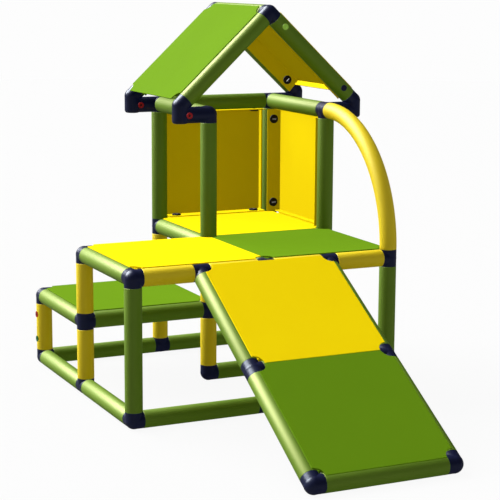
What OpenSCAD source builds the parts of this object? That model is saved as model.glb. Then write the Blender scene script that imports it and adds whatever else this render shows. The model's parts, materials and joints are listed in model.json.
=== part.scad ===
// Playhouse on a climbing frame of round tubes: a step, a deck, a small house with a
// pitched roof, an arch to hold on to, and a ramp that can be lifted about the deck's
// front rail. All tube axes lie on one square grid, and every crossing of tubes has a
// moulded connector whose hollow spigots reach into the tubes.
// The panels are trays: a flat face over the tubes, two deep sides folded down between them
// that take the screws, and a shallow lip along each of the other two edges.

/* [Tubes] */
// Outside diameter of every tube
tube_d = 50; // [46:1:54]
// Wall of every tube
tube_wall = 3; // [2.5:0.5:4]
// Length of a long tube, which sets the grid
long_tube = 350; // [330:10:400]
// From a tube's end to the middle of its screw holes
hole_in = 35; // [30:1:40]

/* [Connectors] */
// How much thinner a connector's arm is than the tubes, on the radius
arm_step = 0.2; // [0.1:0.1:0.6]
// How far the ball in the middle of a connector stands out of its arms, on the radius
ball_out = 0.4; // [0.3:0.1:0.8]
// How far a spigot reaches into its tube
spigot_len = 45; // [42:1:55]
// Wall of a hollow spigot
spigot_wall = 3.5; // [3:0.5:5]
// Running clearance of a spigot in its tube, on the radius
spigot_gap = 0.1; // [0.05:0.01:0.1]
// How far a spigot reaches into the bent arch tube
arch_spigot = 25; // [20:1:28]

/* [Panels] */
// Thickness of a panel's face
face_t = 3; // [2:0.5:4]
// Thickness of a panel's folded sides
side_t = 3; // [2:0.5:4]
// Depth of the two sides that take a panel's screws, under its face
side_h = 48; // [40:1:50]
// Depth of the lips along a panel's other two edges, under its face
lip_h = 18; // [12:1:24]
// Clearance between a panel and the tubes that carry it
panel_gap = 0.5; // [0.4:0.1:1]
// Clearance between a panel's cut-out corner and the post that stands in it
notch_gap = 3; // [2:0.5:5]
// Radius of the bends between a panel's sides
side_bend = 8; // [5:1:15]
// Clearance between the wall panels and the floor panel below them
wall_gap = 0.3; // [0.2:0.1:1]

/* [Screws and plugs] */
// Diameter of a screw's shank
shank_d = 12; // [10:1:14]
// Clearance of the shank in its holes, on the radius
shank_gap = 0.2; // [0.1:0.1:0.5]
// Length of a screw's shank
shank_len = 14.5; // [13:0.5:15]
// Diameter of a screw's head
head_d = 29; // [26:1:32]
// Height of a screw's head
head_h = 5; // [4:0.5:7]
// Length of the slot in a screw's head
slot_l = 14; // [10:1:18]
// Width of the slot in a screw's head
slot_w = 3; // [2:0.5:4]
// Diameter of a coloured plug's head
plug_d = 19; // [17:1:22]
// How far a plug's head stands out of its tube
plug_out = 1.5; // [1:0.5:3]

/* [Roof and ramp] */
// Slope of the roof
roof_pitch = 43; // [38:1:48]
// Height of a gable's lowest point above the arm of its foot
foot_rise = 28; // [26:1:34]
// Radius round the lower edge of a roof foot's column
foot_round = 9; // [6:1:12]
// From the column of a roof foot to the plug in its arm
foot_plug_in = 20; // [15:1:25]
// Side clearance of the ramp's tees between the rail tubes
swivel_gap = 0.5; // [0.3:0.1:1]

/* [Hidden] */
$fn = 64;
X = [1, 0, 0];
Y = [0, 1, 0];
Z = [0, 0, 1];
tube_r = tube_d / 2;
bore_r = tube_r - tube_wall;
neck = tube_r;
grid = long_tube + 2 * neck;
arm_r = tube_r - arm_step;
ball_r = arm_r + ball_out;
foot_r = (arm_r + ball_r) / 2;
spigot_r = bore_r - spigot_gap;
arch_bend = grid - neck;
arch_sag = arch_bend - sqrt(pow(arch_bend, 2) - pow(arch_spigot, 2));
arch_spigot_r = bore_r - arch_sag - spigot_gap;
hole_at = neck + hole_in;
hole_r = shank_d / 2 + shank_gap;
shank_r = shank_d / 2;
seat = tube_r + panel_gap;
notch_r = tube_r + notch_gap;
wall_lift = face_t + wall_gap;
down_left = [-cos(roof_pitch), 0, -sin(roof_pitch)];
down_right = [cos(roof_pitch), 0, -sin(roof_pitch)];
foot_out = grid * cos(roof_pitch) - grid / 2;
foot_plug_at = [foot_plug_in - foot_out, 0, 0];
apex_z = 2 * grid + foot_rise + grid * sin(roof_pitch);
ramp_pitch = asin(1 / 2);
low_x = -tube_r - plug_out;
high_x = 2 * grid + foot_out + ball_r;
low_y = -2 * grid * cos(ramp_pitch) - ball_r;
high_y = 2 * grid + seat + face_t;
slack = 1;

leaf = [0.45, 0.65, 0.14];
sun = [0.98, 0.83, 0.05];
navy = [0.08, 0.08, 0.18];
jet = [0.05, 0.05, 0.05];

// A crossing of the grid, counted in whole or half steps from the floor's front left corner
function at(i, j, k = 0) = [i, j, k] * grid;

// The row axes that stand square to a direction
function across(v) = [for (w = [X, Y, Z]) if (abs(w * v) < 0.5) w];

// Moves the front left crossing so that the whole toy stands on z = 0 with its middle at the origin
module stand() {
    translate([-(low_x + high_x) / 2, -(low_y + high_y) / 2, ball_r]) children();
}

// The ramp's own frame: its rails run towards -Y and its face looks towards +Z
module on_ramp() {
    stand() translate(at(0, 0, 1)) rotate([ramp_pitch, 0, 0]) children();
}

// Turns +Z to look along a direction
module aim(v) {
    rotate([0, acos(v.z / norm(v)), atan2(v.y, v.x)]) children();
}

// Square sides with round bends, standing off the grid by inset, and by lift more at y = 0
module inset_outline(inset, lift, bend) {
    low = [inset, inset + lift];
    high = [grid - inset, grid - inset];
    translate([low.x + bend, low.y]) square([high.x - low.x - 2 * bend, high.y - low.y]);
    translate([low.x, low.y + bend]) square([high.x - low.x, high.y - low.y - 2 * bend]);
    for (x = [low.x + bend, high.x - bend], y = [low.y + bend, high.y - bend])
        translate([x, y]) circle(r = bend);
}

// Shank holes near both ends, for screws that come in from each of the sides
module shank_holes(a, b, sides) {
    along = (b - a) / norm(b - a);
    for (w = sides, spot = [a + along * hole_at, b - along * hole_at])
        translate(spot) aim(w) cylinder(r = hole_r, h = tube_r + slack);
}

// A tube between two crossings
module tube(a, b, sides = []) {
    along = (b - a) / norm(b - a);
    length = norm(b - a) - 2 * neck;
    difference() {
        translate(a + along * neck) aim(along) difference() {
            cylinder(r = tube_r, h = length);
            translate([0, 0, -slack]) cylinder(r = bore_r, h = length + 2 * slack);
        }
        shank_holes(a, b, sides);
    }
}

// One arm of a connector: the part that shows, then the spigot
module arm(v, trim = 0, reach = spigot_len, r = spigot_r) {
    aim(v) {
        cylinder(r = arm_r, h = neck - trim);
        cylinder(r = r, h = neck + reach);
    }
}

// The hollow of a spigot, and its four screw holes along the directions given
module arm_hollow(v, dirs, reach = spigot_len, r = spigot_r) {
    aim(v) translate([0, 0, neck]) cylinder(r = r - spigot_wall, h = reach + slack);
    for (w = dirs) translate(v * hole_at) aim(w) cylinder(r = hole_r, h = tube_d, center = true);
}

// A connector with arms along the grid; trim shortens the arms along X
module connector(arms, trim = 0) {
    difference() {
        union() {
            aim(arms[0]) sphere(r = ball_r);
            for (v = arms) arm(v, trim * abs(v.x));
        }
        for (v = arms) arm_hollow(v, across(v));
    }
}

// The deck's corner connector that also takes the lower end of the arch
module arch_foot() {
    difference() {
        union() {
            sphere(r = ball_r);
            for (v = [-X, Y, -Z]) arm(v);
            arm(Z, 0, arch_spigot, arch_spigot_r);
        }
        for (v = [-X, Y, -Z]) arm_hollow(v, across(v));
        arm_hollow(Z, [], arch_spigot, arch_spigot_r);
    }
}

// A roof foot: the crossing at the post's top, an arm outwards, a column, and the gable's branch
module roof_foot(arms, side, arch_arm = false) {
    branch = side < 0 ? -down_left : -down_right;
    hinge_line = [side * foot_out, 0, foot_rise];
    difference() {
        union() {
            sphere(r = ball_r);
            for (v = arms) arm(v);
            if (arch_arm) arm(-Y, 0, arch_spigot, arch_spigot_r);
            aim([side, 0, 0]) cylinder(r = arm_r, h = foot_out);
            translate([side * foot_out, 0, 0]) foot_column();
            translate(hinge_line) sphere(r = ball_r);
            translate(hinge_line) gable_arm(branch);
        }
        for (v = arms) arm_hollow(v, across(v));
        if (arch_arm) arm_hollow(-Y, [], arch_spigot, arch_spigot_r);
        translate(hinge_line) gable_arm_hollow(branch);
        if (side < 0) translate(foot_plug_at) aim(-Y) cylinder(r = hole_r, h = tube_r + slack);
    }
}

// The upright end of a roof foot, with a round lower edge
module foot_column() {
    rotate_extrude() union() {
        polygon([[0, -ball_r], [foot_r - foot_round, -ball_r], [foot_r - foot_round, foot_round - ball_r],
                 [foot_r, foot_round - ball_r], [foot_r, foot_rise], [0, foot_rise]]);
        intersection() {
            translate([foot_r - foot_round, foot_round - ball_r]) circle(r = foot_round);
            translate([foot_r - foot_round, -ball_r]) square([foot_round, foot_round]);
        }
    }
}

// An arm along a gable, with its screw holes square to the roof and along the ridge
module gable_arm(v) {
    arm(v);
}

module gable_arm_hollow(v) {
    arm_hollow(v, [Y, cross(v, Y)]);
}

// The connector at an end of the ridge, whose ridge arm has its holes along the two slopes
module roof_apex(ridge) {
    difference() {
        union() {
            sphere(r = ball_r);
            for (v = [down_left, down_right]) gable_arm(v);
            arm(ridge);
        }
        for (v = [down_left, down_right]) gable_arm_hollow(v);
        arm_hollow(ridge, [down_left, down_right]);
    }
}

// The four sides of a panel: where each one's tube starts, the way that it runs, and the way into the panel
LOW = 0;
HIGH = 1;
LEFT = 2;
RIGHT = 3;
side_start = [[0, 0, 0], [0, grid, 0], [0, 0, 0], [grid, 0, 0]];
side_run = [X, X, Y, Y];
side_in = [Y, -Y, X, -X];

// Puts the children at a panel's screws, looking into the panel from the middle of the tube
module at_screws(sides) {
    for (s = sides, d = [hole_at, grid - hole_at])
        translate(side_start[s] + side_run[s] * d) aim(side_in[s]) children();
}

// Everything between two opposite sides of a panel, below the lips that stay along the other two
module below_lips(sides, lift) {
    gap = seat + side_bend / 2;
    low = sides[0] == LOW ? [-slack, gap + lift] : [gap, -slack];
    high = sides[0] == LOW ? [grid + slack, grid - gap] : [grid - gap, grid + slack];
    translate([low.x, low.y, seat - side_h - slack])
        cube([high.x - low.x, high.y - low.y, side_h - lip_h + slack]);
}

// A tray panel over one square of the grid, seen in the plane of its tube axes: sides names the two
// deep sides, lift raises the one at y = 0, and edge_holes clears screws beside the edges named.
module panel(sides, lift = 0, edge_holes = []) {
    difference() {
        union() {
            translate([0, 0, seat]) linear_extrude(face_t) difference() {
                square(grid);
                for (x = [0, grid], y = [0, grid]) translate([x, y]) circle(r = notch_r);
            }
            translate([0, 0, seat - side_h]) linear_extrude(side_h + face_t / 2)
                inset_outline(seat, lift, side_bend);
        }
        translate([0, 0, seat - side_h - slack]) linear_extrude(side_h + slack)
            inset_outline(seat + side_t, lift, side_bend - side_t);
        below_lips(sides, lift);
        at_screws(sides) cylinder(r = hole_r, h = seat + lift + side_t + slack);
        for (s = edge_holes, d = [hole_at, grid - hole_at])
            translate(side_start[s] + side_run[s] * d) cylinder(r = hole_r, h = seat + face_t + slack);
    }
}

// A screw along +Z, with the underside of its head this far from the tube's axis
module screw(under_head) {
    translate([0, 0, under_head]) difference() {
        union() {
            rotate_extrude() polygon([[0, 0], [head_d / 2, 0], [head_d / 2, head_h - 1.5],
                                      [head_d / 2 - 1.5, head_h], [0, head_h]]);
            translate([0, 0, -shank_len]) cylinder(r = shank_r, h = shank_len + head_h / 2);
        }
        translate([-slot_l / 2, -slot_w / 2, head_h / 2]) cube([slot_l, slot_w, head_h]);
    }
}

module panel_screws(sides, lift = 0) {
    for (s = sides) at_screws([s]) screw(seat + side_t + (s == LOW ? lift : 0));
}

// A plug along +Z from the middle of its tube, with a head that fits the tube's round
module plug() {
    difference() {
        union() {
            difference() {
                cylinder(r = plug_d / 2, h = tube_r + plug_out);
                rotate([90, 0, 0]) cylinder(r = tube_r, h = plug_d + slack, center = true);
            }
            translate([0, 0, tube_r - shank_len / 2]) cylinder(r = shank_r, h = shank_len / 2 + plug_out / 2);
        }
        translate([0, 0, tube_r + plug_out / 2]) cylinder(r = plug_d / 5, h = plug_out);
    }
}

// Where each panel lies: the grid crossing at its corner and the way that its face looks
module place_step() { stand() translate(at(0, 1, 0.5)) children(); }
module place_deck_left() { stand() translate(at(0, 0, 1)) children(); }
module place_deck_right() { stand() translate(at(1, 0, 1)) children(); }
module place_house_floor() { stand() translate(at(1, 1, 1)) children(); }
module place_back_wall() { stand() translate(at(2, 2, 1)) rotate([90, 0, 180]) children(); }
module place_side_wall() { stand() translate(at(2, 1, 1)) rotate([90, 0, 90]) children(); }
module place_ridge() { stand() translate([1.5 * grid, grid, apex_z]) children(); }
module place_roof_left() { place_ridge() rotate([0, -roof_pitch, 0]) translate([-grid, 0, 0]) children(); }
module place_roof_right() { place_ridge() rotate([0, roof_pitch, 0]) children(); }
module place_ramp_upper() { on_ramp() translate([grid / 2, -grid, 0]) children(); }
module place_ramp_lower() { on_ramp() translate([grid / 2, -2 * grid, 0]) children(); }

// Tubes on the floor
module floor_tubes_front() { color(leaf) stand() for (i = [0, 1]) tube(at(i, 0), at(i + 1, 0)); }
module floor_tubes_left() { color(leaf) stand() for (j = [0, 1]) tube(at(0, j), at(0, j + 1)); }
module floor_tubes_back() { color(leaf) stand() for (i = [0, 1]) tube(at(i, 2), at(i + 1, 2)); }
module floor_tubes_right() { color(leaf) stand() for (j = [0, 1]) tube(at(2, j), at(2, j + 1)); }
module floor_tube_middle() { color(leaf) stand() tube(at(1, 1), at(2, 1)); }

// Uprights
module front_legs() { color(leaf) stand() for (i = [0, 2]) tube(at(i, 0), at(i, 0, 1)); }
module rear_legs() { color(leaf) stand() for (j = [1, 2]) tube(at(2, j), at(2, j, 1)); }
module step_posts_left() {
    color(sun) stand() {
        for (k = [0, 0.5]) tube(at(0, 1, k), at(0, 1, k + 0.5));
        tube(at(0, 2), at(0, 2, 0.5), [-X]);
    }
}
module step_posts_right() {
    color(sun) stand() for (j = [1, 2], k = [0, 0.5]) tube(at(1, j, k), at(1, j, k + 0.5));
}
module house_posts() {
    color(leaf) stand() {
        tube(at(1, 1, 1), at(1, 1, 2));
        tube(at(2, 1, 1), at(2, 1, 2), [Y]);
        tube(at(1, 2, 1), at(1, 2, 2));
        tube(at(2, 2, 1), at(2, 2, 2), [-Y]);
    }
}

// Rails round the step, the deck and the house
module step_rails() {
    color(leaf) stand() {
        for (j = [1, 2]) tube(at(0, j, 0.5), at(1, j, 0.5));
        tube(at(0, 1, 0.5), at(0, 2, 0.5), [X]);
        tube(at(1, 1, 0.5), at(1, 2, 0.5), [-X]);
    }
}
module deck_front_rail() {
    color(sun) stand() for (i = [0, 0.5, 1, 1.5]) tube(at(i, 0, 1), at(i + 0.5, 0, 1));
}
module deck_side_rails() {
    color(leaf) stand() {
        tube(at(0, 0, 1), at(0, 1, 1), [X]);
        tube(at(1, 0, 1), at(1, 1, 1), [-X, X]);
        tube(at(2, 0, 1), at(2, 1, 1), [-X]);
    }
}
module deck_rear_rails() {
    color(leaf) stand() for (i = [0, 1]) tube(at(i, 1, 1), at(i + 1, 1, 1));
}
module house_floor_rails() {
    color(leaf) stand() {
        tube(at(1, 1, 1), at(1, 2, 1), [X]);
        tube(at(1, 2, 1), at(2, 2, 1), [Z]);
        tube(at(2, 1, 1), at(2, 2, 1), [-X]);
    }
}
module house_top_rails() {
    color(leaf) stand() {
        tube(at(1, 1, 2), at(1, 2, 2));
        tube(at(1, 2, 2), at(2, 2, 2), [-Z]);
        tube(at(2, 1, 2), at(2, 2, 2));
    }
}

// The arch, a quarter ring in the plane of the house's right side
module arch_tube() {
    color(sun) stand() translate([2 * grid, grid - neck, grid + neck]) rotate([90, 0, -90])
        rotate_extrude(angle = 90, $fn = 96) translate([arch_bend, 0]) difference() {
            circle(r = tube_r);
            circle(r = bore_r);
        }
}

// Roof tubes, from the ridge down
module ridge_tube() { color(leaf) place_ridge() tube([0, 0, 0], at(0, 1)); }
module gable_pair(j, left_sides, right_sides) {
    place_ridge() translate(at(0, j)) {
        tube([0, 0, 0], down_left * grid, left_sides);
        tube([0, 0, 0], down_right * grid, right_sides);
    }
}
module gable_tubes_front() { color(leaf) gable_pair(0, [Y], [Y, -Y]); }
module gable_tubes_back() { color(leaf) gable_pair(1, [-Y], [-Y]); }

// Connectors on the floor
module floor_corner_connectors() {
    color(navy) stand() {
        translate(at(0, 0)) connector([X, Y, Z]);
        translate(at(2, 0)) connector([-X, Y, Z]);
        translate(at(0, 2)) connector([X, -Y, Z]);
        translate(at(2, 2)) connector([-X, -Y, Z]);
    }
}
module floor_elbow_connector() { color(navy) stand() translate(at(1, 1)) connector([X, Z]); }
module floor_tee_connectors() {
    color(navy) stand() {
        translate(at(0, 1)) connector([Y, -Y, Z]);
        translate(at(1, 2)) connector([X, -X, Z]);
    }
}
module floor_side_connector() { color(navy) stand() translate(at(2, 1)) connector([-X, Y, -Y, Z]); }
module floor_straight_connector() { color(navy) stand() translate(at(1, 0)) connector([X, -X]); }

// Connectors round the step
module step_corner_connector() { color(navy) stand() translate(at(0, 2, 0.5)) connector([X, -Y, -Z]); }
module step_side_connectors() {
    color(navy) stand() {
        translate(at(0, 1, 0.5)) connector([X, Y, Z, -Z]);
        translate(at(1, 1, 0.5)) connector([-X, Y, Z, -Z]);
        translate(at(1, 2, 0.5)) connector([-X, -Y, Z, -Z]);
    }
}

// Connectors at the deck's height
module deck_corner_connectors() {
    color(navy) stand() {
        translate(at(0, 0, 1)) connector([X, Y, -Z]);
        translate(at(0, 1, 1)) connector([X, -Y, -Z]);
    }
}
module deck_rail_connector() { color(navy) stand() translate(at(1, 0, 1)) connector([X, -X, Y]); }
module arch_foot_connector() { color(navy) stand() translate(at(2, 0, 1)) arch_foot(); }
module house_corner_connectors() {
    color(navy) stand() {
        translate(at(1, 2, 1)) connector([X, -Y, Z, -Z]);
        translate(at(2, 2, 1)) connector([-X, -Y, Z, -Z]);
    }
}
module house_door_connector() { color(navy) stand() translate(at(1, 1, 1)) connector([X, -X, Y, -Y, Z, -Z]); }
module house_side_connector() { color(navy) stand() translate(at(2, 1, 1)) connector([-X, Y, -Y, Z, -Z]); }

// Connectors of the roof
module roof_feet_left() {
    color(navy) stand() {
        translate(at(1, 1, 2)) roof_foot([Y, -Z], -1);
        translate(at(1, 2, 2)) roof_foot([X, -Y, -Z], -1);
    }
}
module roof_feet_right() {
    color(navy) stand() {
        translate(at(2, 1, 2)) roof_foot([Y, -Z], 1, true);
        translate(at(2, 2, 2)) roof_foot([-X, -Y, -Z], 1);
    }
}
module roof_apex_connectors() {
    color(navy) place_ridge() {
        roof_apex(Y);
        translate(at(0, 1)) roof_apex(-Y);
    }
}

// Panels
module step_panel() { color(leaf) place_step() panel([LEFT, RIGHT]); }
module deck_panel_left() { color(sun) place_deck_left() panel([LEFT, RIGHT]); }
module deck_panel_right() { color(leaf) place_deck_right() panel([LEFT, RIGHT]); }
module house_floor_panel() { color(sun) place_house_floor() panel([LEFT, RIGHT], 0, [HIGH]); }
module back_wall() { color(sun) place_back_wall() panel([LOW, HIGH], wall_lift); }
module side_wall() { color(sun) place_side_wall() panel([LEFT, RIGHT], wall_lift); }
module roof_panel_left() { color(leaf) place_roof_left() panel([LOW, HIGH]); }
module roof_panel_right() { color(sun) place_roof_right() panel([LOW, HIGH]); }

// Screws
module floor_panel_screws() {
    color(jet) {
        place_step() panel_screws([LEFT, RIGHT]);
        place_deck_left() panel_screws([LEFT, RIGHT]);
        place_deck_right() panel_screws([LEFT, RIGHT]);
        place_house_floor() panel_screws([LEFT, RIGHT]);
    }
}
module wall_screws() {
    color(jet) {
        place_back_wall() panel_screws([LOW, HIGH], wall_lift);
        place_side_wall() panel_screws([LEFT, RIGHT]);
    }
}
module roof_screws() {
    color(jet) {
        place_roof_left() panel_screws([LOW, HIGH]);
        place_roof_right() panel_screws([LOW, HIGH]);
    }
}

// Coloured plugs in screw holes of the tubes and of the two left roof feet
module red_plugs() {
    color("red") stand() {
        for (j = [1, 2]) translate(at(1, j, 2) + foot_plug_at) aim(-Y) plug();
        translate(at(0, 2, 0.5) - Z * hole_at) aim(-X) rotate(90) plug();
    }
}
module dark_green_plug() {
    color("darkgreen") stand() translate(at(0, 2) + Z * hole_at) aim(-X) rotate(90) plug();
}
module light_green_plug() {
    color("yellowgreen") place_ridge() translate(down_right * hole_at) aim_front() plug();
}
module blue_plug() {
    color("navy") place_ridge() translate(down_right * (grid - hole_at)) aim_front() plug();
}
// Looks towards -Y with the plug's round along the right gable
module aim_front() { rotate([0, roof_pitch, 0]) rotate([90, 0, 0]) rotate(90) children(); }

// The ramp
module ramp_side_tubes() {
    color(leaf) on_ramp() for (j = [0, 1]) {
        tube(at(0.5, -j), at(0.5, -j - 1), [X]);
        tube(at(1.5, -j), at(1.5, -j - 1), [-X]);
    }
}
module ramp_cross_tubes() {
    color(leaf) on_ramp() for (j = [-1, -2]) tube(at(0.5, j), at(1.5, j));
}
module ramp_rail_tees() {
    color(navy) on_ramp() for (i = [0.5, 1.5]) translate(at(i, 0)) connector([X, -X, -Y], swivel_gap);
}
module ramp_middle_tees() {
    color(navy) on_ramp() {
        translate(at(0.5, -1)) connector([X, Y, -Y]);
        translate(at(1.5, -1)) connector([-X, Y, -Y]);
    }
}
module ramp_corner_connectors() {
    color(navy) on_ramp() {
        translate(at(0.5, -2)) connector([X, Y]);
        translate(at(1.5, -2)) connector([-X, Y]);
    }
}
module ramp_panel_upper() { color(sun) place_ramp_upper() panel([LEFT, RIGHT]); }
module ramp_panel_lower() { color(leaf) place_ramp_lower() panel([LEFT, RIGHT]); }
module ramp_screws() {
    color(jet) {
        place_ramp_upper() panel_screws([LEFT, RIGHT]);
        place_ramp_lower() panel_screws([LEFT, RIGHT]);
    }
}

floor_tubes_front();
floor_tubes_left();
floor_tubes_back();
floor_tubes_right();
floor_tube_middle();
front_legs();
rear_legs();
step_posts_left();
step_posts_right();
step_rails();
deck_front_rail();
deck_side_rails();
deck_rear_rails();
house_floor_rails();
house_posts();
house_top_rails();
arch_tube();
ridge_tube();
gable_tubes_front();
gable_tubes_back();
floor_corner_connectors();
floor_elbow_connector();
floor_tee_connectors();
floor_side_connector();
floor_straight_connector();
step_corner_connector();
step_side_connectors();
deck_corner_connectors();
deck_rail_connector();
arch_foot_connector();
house_corner_connectors();
house_door_connector();
house_side_connector();
roof_feet_left();
roof_feet_right();
roof_apex_connectors();
step_panel();
deck_panel_left();
deck_panel_right();
house_floor_panel();
back_wall();
side_wall();
roof_panel_left();
roof_panel_right();
floor_panel_screws();
wall_screws();
roof_screws();
red_plugs();
light_green_plug();
dark_green_plug();
blue_plug();
ramp_side_tubes();
ramp_cross_tubes();
ramp_rail_tees();
ramp_middle_tees();
ramp_corner_connectors();
ramp_panel_upper();
ramp_panel_lower();
ramp_screws();
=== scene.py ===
# %% [markdown]
# # A playhouse on a climbing frame
#
# The toy is a kit. Round plastic tubes, all on one square grid, meet in dark blue connectors.
# Square tray panels close the step, the deck, the house's floor, two walls and the roof, and a
# ramp hangs on the deck's front rail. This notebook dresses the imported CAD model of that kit.
# It starts by loading the CAD bodies as a fixed frame, so that each piece made here has a place
# to go to, in metres, without any fitting.

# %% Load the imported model
import json
import math

import bmesh
import bpy
from mathutils import Matrix, Vector

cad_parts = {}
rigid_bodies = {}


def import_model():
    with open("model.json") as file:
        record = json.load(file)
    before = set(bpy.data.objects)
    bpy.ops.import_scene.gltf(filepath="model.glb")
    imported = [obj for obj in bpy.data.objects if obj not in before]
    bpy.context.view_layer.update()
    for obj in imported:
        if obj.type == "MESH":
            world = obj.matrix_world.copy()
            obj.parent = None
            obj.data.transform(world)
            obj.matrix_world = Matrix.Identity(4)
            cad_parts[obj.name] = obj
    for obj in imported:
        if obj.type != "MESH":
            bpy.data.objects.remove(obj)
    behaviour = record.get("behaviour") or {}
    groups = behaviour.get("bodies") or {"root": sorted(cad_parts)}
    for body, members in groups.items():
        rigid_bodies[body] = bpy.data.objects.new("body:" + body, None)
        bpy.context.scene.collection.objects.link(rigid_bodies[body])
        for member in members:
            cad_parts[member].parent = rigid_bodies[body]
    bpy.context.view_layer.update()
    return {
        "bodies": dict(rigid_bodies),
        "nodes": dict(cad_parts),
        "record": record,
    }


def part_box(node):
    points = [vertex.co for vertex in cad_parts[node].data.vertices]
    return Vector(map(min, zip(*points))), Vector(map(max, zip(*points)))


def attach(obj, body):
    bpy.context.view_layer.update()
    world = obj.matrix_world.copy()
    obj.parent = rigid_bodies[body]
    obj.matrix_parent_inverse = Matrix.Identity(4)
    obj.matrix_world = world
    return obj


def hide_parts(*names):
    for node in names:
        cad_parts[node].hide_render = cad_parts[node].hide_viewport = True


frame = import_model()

print("bodies:", ", ".join(frame["bodies"]), "- nodes:", len(frame["nodes"]))

# %% [markdown]
# ## The grid
#
# A tube is 350 mm long, and a connector shows 25 mm of itself at each of its ends. We could type
# each place by hand, but then a typing mistake would only show in the picture. Instead one
# crossing is read from the CAD's box of the front legs, and all other crossings are counted from
# there. The panels' sheet is 3 mm thick and lies half a millimetre above the tubes. The roof
# starts 28 mm above the house's top crossings and slopes at 43 degrees, and the ramp hangs at 30.

# %% Count crossings from the front left one
GRID = 0.4
TUBE_R = 0.025
TUBE_WALL = 0.003
NECK = 0.025
LONG = GRID - 2 * NECK
SHORT = GRID / 2 - 2 * NECK
HOLE_AT = NECK + 0.035
SEAT = 0.0255
SHEET = 0.003

legs_low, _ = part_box("front_legs")
CORNER = Vector((legs_low.x + TUBE_R, legs_low.y + TUBE_R, legs_low.z - NECK))
ROOF_PITCH = math.radians(43)
RAMP_PITCH = math.radians(30)


def at(i, j, k=0.0):
    """The crossing that lies i, j and k steps right, back and up from the front left one."""
    return CORNER + Vector((i, j, k)) * GRID


def turned(axis, angle):
    return Matrix.Rotation(angle, 4, axis)


def moved(v):
    return Matrix.Translation(v)


EAVE_Z = 0.028
RIDGE = moved(at(1.5, 1, 2) + Vector((0, 0, EAVE_Z + GRID * math.sin(ROOF_PITCH))))
RAMP = moved(at(0, 0, 1)) @ turned("X", RAMP_PITCH)
print("front left crossing:", [round(c, 4) for c in CORNER])

# %% [markdown]
# ## The camera
#
# The picture was taken from the left of the ramp's foot, four metres away and a little higher
# than the roof. With 17 of them and four edges of the roof marked in the photo, the lens, the
# place and the three angles of the camera follow from a least-squares fit. It lands within a
# pixel and a half of every mark but one, the ramp's right foot, which it misses by three. Placing
# a camera by eye is faster, but each later comparison would suffer.

# %% Place the camera from the fitted values
AZIMUTH, ELEVATION, ROLL = 0.4397, -0.1775, 0.0055
LENS_PX, PHOTO_PX, SENSOR_MM = 1559.4935, 500, 36
FROM_CORNER = Vector((-1.485347, -3.906317, 1.228204))
forward = Vector((math.sin(AZIMUTH) * math.cos(ELEVATION), math.cos(AZIMUTH) * math.cos(ELEVATION),
                  math.sin(ELEVATION)))
level = Vector((math.cos(AZIMUTH), -math.sin(AZIMUTH), 0))
upright = level.cross(forward)
right = level * math.cos(ROLL) + upright * math.sin(ROLL)
up = upright * math.cos(ROLL) - level * math.sin(ROLL)

camera_data = bpy.data.cameras.new("camera")
camera_data.sensor_width = SENSOR_MM
camera_data.lens = LENS_PX / PHOTO_PX * SENSOR_MM
camera_data.clip_end = 60
camera = bpy.data.objects.new("camera", camera_data)
turn = Matrix((right, up, -forward)).transposed().to_4x4()
camera.matrix_world = moved(CORNER + FROM_CORNER) @ turn
bpy.context.scene.collection.objects.link(camera)
bpy.context.scene.camera = camera
print("lens:", round(camera_data.lens, 1), "mm, camera at", [round(c, 2) for c in camera.location])

# %% [markdown]
# ## Writing shaders as sums
#
# A material's pattern is arithmetic: a speckle times a strength, plus a base. Drawn by hand that
# is a long chain of Math nodes. A small class lets Python's own signs build the chain: it wraps a
# socket, and each sign adds the Math node for it. Any other node comes from one method that takes
# the node's type, its settings and its inputs.

# %% Wrap sockets so that + and * add Math nodes


class Value:
    """A shader socket that arithmetic can be done with."""

    def __init__(self, sheet, socket):
        self.sheet, self.socket = sheet, socket

    def _math(self, operation, a, b):
        return self.sheet.node("ShaderNodeMath", {"operation": operation}, {0: a, 1: b})

    def __add__(self, other):
        return self._math("ADD", self, other)

    def __mul__(self, other):
        return self._math("MULTIPLY", self, other)


class Sheet:
    """The node tree of one material."""

    def __init__(self, name):
        self.material = bpy.data.materials.new(name)
        self.material.use_nodes = True
        self.tree = self.material.node_tree
        self.shader = self.tree.nodes["Principled BSDF"]
        self.place = self.node("ShaderNodeTexCoord", {}, {}, "Object")

    def node(self, kind, settings, inputs, output=0):
        made = self.tree.nodes.new(kind)
        for key, setting in settings.items():
            if key == "stops":
                for stop, (spot, grey) in zip(made.color_ramp.elements, setting):
                    stop.position, stop.color = spot, (grey, grey, grey, 1)
            else:
                setattr(made, key, setting)
        for key, value in inputs.items():
            self.feed(made.inputs[key], value)
        return Value(self, made.outputs[output])

    def feed(self, socket, value):
        if isinstance(value, Value):
            self.tree.links.new(value.socket, socket)
        else:
            socket.default_value = value

    def noise(self, scale, detail, place=None):
        return self.node("ShaderNodeTexNoise", {}, {"Vector": place or self.place, "Scale": scale,
                                                    "Detail": detail})

    def ramp(self, value, low, high):
        return self.node("ShaderNodeValToRGB", {"stops": [(low, 0), (high, 1)]}, {0: value})

    def stretched(self, x, y, z):
        return self.node("ShaderNodeMapping", {}, {"Vector": self.place, "Scale": (x, y, z)})

    def mixed(self, amount, a, b):
        return self.node("ShaderNodeMix", {"data_type": "RGBA"}, {0: amount, 6: a, 7: b}, 2)

    def bump(self, height, strength, distance, below=None):
        inputs = {"Height": height, "Strength": strength, "Distance": distance}
        if below:
            inputs["Normal"] = below
        return self.node("ShaderNodeBump", {}, inputs)

    def set(self, **sockets):
        for key, value in sockets.items():
            self.feed(self.shader.inputs[key.replace("_", " ")], value)
        return self.material


print("shader helpers ready")

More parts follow.
